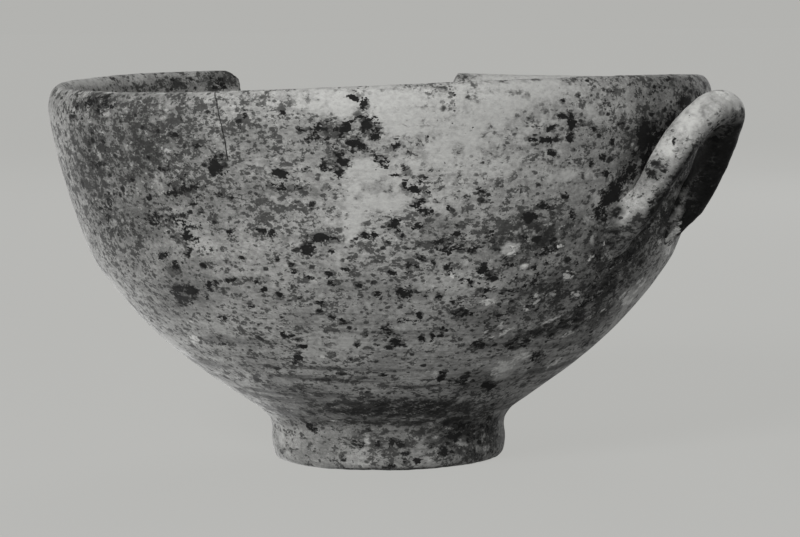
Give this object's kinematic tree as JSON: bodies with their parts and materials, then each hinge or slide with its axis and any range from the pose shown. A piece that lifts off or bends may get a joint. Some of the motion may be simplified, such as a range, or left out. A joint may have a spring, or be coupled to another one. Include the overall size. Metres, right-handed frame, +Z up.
{
  "type": "handled bowl",
  "caption": "Deep hand-thrown pottery bowl on a low ring foot, with an upswept loop handle below the rim and a piece broken out of the rim opposite.",
  "frame": {"origin": "on the resting plane, below the middle of the bounding box; the foot's centre is 6.7 mm from it on -X", "axes": "+Z up, +X towards the middle of the handle, +Y to the left of someone looking out along the handle"},
  "size_m": [0.177, 0.162, 0.0942],
  "materials": {
    "bowl_clay": "unglazed fired clay with dark mineral specks, pale lime crust and soot-like stains",
    "foot_clay": "unglazed fired clay, stained dark towards the handle side",
    "handle_clay": "unglazed fired clay, worn pale on top and dark underneath"
  },
  "bodies": {
    "root": {"bowl_wall": "bowl_clay", "foot_ring": "foot_clay", "foot_coil": "foot_clay", "handle_roll": "handle_clay", "handle_pad_near": "handle_clay", "handle_pad_far": "handle_clay"}
  },
  "joints": []
}
